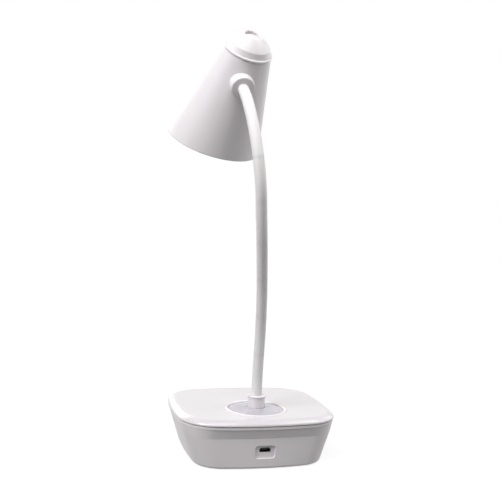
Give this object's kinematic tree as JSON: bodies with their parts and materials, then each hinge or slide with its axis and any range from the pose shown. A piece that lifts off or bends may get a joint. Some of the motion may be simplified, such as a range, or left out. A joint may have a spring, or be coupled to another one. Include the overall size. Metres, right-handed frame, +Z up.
{
  "type": "desk lamp",
  "caption": "Small white desk lamp: drawer in a rounded-square base with a charging inlet, bendable sleeved neck, conical shade with a push button in its crown.",
  "frame": {"origin": "on the table, under the middle of the base", "axes": "+Z up; -Y towards the drawer's side, +Y towards the charging inlet; +X to the right of someone who looks at the drawer's side"},
  "size_m": [0.1208, 0.1228, 0.2992],
  "materials": {
    "white_gloss": "satin-gloss moulded white plastic",
    "lid_white": "satin-gloss moulded white plastic, slightly cool",
    "inner_white": "matte moulded white plastic",
    "silicone_white": "soft matte white silicone",
    "steel": "plain zinc-plated steel",
    "lens_grey": "clear grey-blue plastic, polished",
    "frosted": "frosted white light-diffusing plastic",
    "reflector_white": "bright white moulded plastic",
    "board_green": "solder-masked circuit board",
    "board_aluminium": "white-coated aluminium circuit board",
    "black_plastic": "black moulded plastic",
    "switch_grey": "grey moulded plastic",
    "led_yellow": "yellow phosphor over a white lamp package",
    "foot_rubber": "soft pale rubber pad",
    "battery_blue": "shrink-wrapped cell"
  },
  "bodies": {
    "base": {"ballast_plate": "steel", "base_screws": "steel", "base_shell": "white_gloss", "battery_pack": "battery_blue", "board_chips": "black_plastic", "board_screws": "steel", "bottom_plate": "inner_white", "collar_nut": "steel", "collar_washer": "steel", "control_board": "board_green", "dish_lens": "lens_grey", "drawer_housing": "inner_white", "grip_pad": "foot_rubber", "lens_bezel": "white_gloss", "neck_collar": "white_gloss", "neck_sleeve_0": "silicone_white", "neck_spine_0": "steel", "top_cover": "lid_white", "usb_shell": "steel", "usb_tongue": "black_plastic"},
    "drawer": {"drawer_tray": "inner_white", "drawer_front": "white_gloss"},
    "neck_1": {"neck_sleeve_1": "silicone_white", "neck_spine_1": "steel"},
    "neck_2": {"neck_sleeve_2": "silicone_white", "neck_spine_2": "steel"},
    "neck_3": {"neck_sleeve_3": "silicone_white", "neck_spine_3": "steel"},
    "neck_4": {"neck_sleeve_4": "silicone_white", "neck_spine_4": "steel"},
    "neck_5": {"neck_sleeve_5": "silicone_white", "neck_spine_5": "steel"},
    "neck_6": {"neck_sleeve_6": "silicone_white", "neck_spine_6": "steel"},
    "neck_7": {"neck_sleeve_7": "silicone_white", "neck_spine_7": "steel"},
    "shade": {"shade_cone": "white_gloss", "neck_nut": "steel", "crown_bead": "white_gloss", "crown_cap": "white_gloss", "push_switch": "black_plastic", "driver_board": "board_green", "led_board": "board_aluminium", "led_screws": "steel", "led_chips": "led_yellow", "reflector": "reflector_white", "diffuser": "frosted", "neck_sleeve_8": "silicone_white", "neck_spine_8": "steel"},
    "button": {"power_button": "white_gloss", "switch_plunger": "switch_grey"}
  },
  "joints": [
    {"name": "drawer_slide", "type": "slide", "parent": "base", "child": "drawer", "axis": [0, -1, 0], "range_m": [0, 0.038]},
    {"name": "neck_bend_1", "type": "hinge", "parent": "base", "child": "neck_1", "pos_m": [0, 0.0176, 0.0594], "axis": [1, 0, 0], "range_deg": [-25, 30]},
    {"name": "neck_bend_2", "type": "hinge", "parent": "neck_1", "child": "neck_2", "pos_m": [0, 0.01959, 0.08783], "axis": [0, 0.9744, -0.225], "range_deg": [-22, 22]},
    {"name": "neck_bend_3", "type": "hinge", "parent": "neck_2", "child": "neck_3", "pos_m": [0.00204, 0.02598, 0.11553], "axis": [1, 0, 0], "range_deg": [-25, 25]},
    {"name": "neck_bend_4", "type": "hinge", "parent": "neck_3", "child": "neck_4", "pos_m": [0.00586, 0.03518, 0.14223], "axis": [0, 0.9397, -0.342], "range_deg": [-22, 22]},
    {"name": "neck_bend_5", "type": "hinge", "parent": "neck_4", "child": "neck_5", "pos_m": [0.01027, 0.04481, 0.16869], "axis": [1, 0, 0], "range_deg": [-30, 18]},
    {"name": "neck_bend_6", "type": "hinge", "parent": "neck_5", "child": "neck_6", "pos_m": [0.01418, 0.05068, 0.19631], "axis": [0, 0.9877, 0.1564], "range_deg": [-20, 20]},
    {"name": "neck_bend_7", "type": "hinge", "parent": "neck_6", "child": "neck_7", "pos_m": [0.01775, 0.04625, 0.22423], "axis": [1, 0, 0], "range_deg": [-35, 10]},
    {"name": "neck_bend_8", "type": "hinge", "parent": "neck_7", "child": "shade", "pos_m": [0.02103, 0.03296, 0.24923], "axis": [0, 0.6947, 0.7193], "range_deg": [-22, 22]},
    {"name": "button_press", "type": "slide", "parent": "shade", "child": "button", "axis": [0.1382, -0.6181, -0.7738], "range_m": [0, 0.001], "stiffness_N_per_m": 400, "springref_m": -0.001}
  ]
}
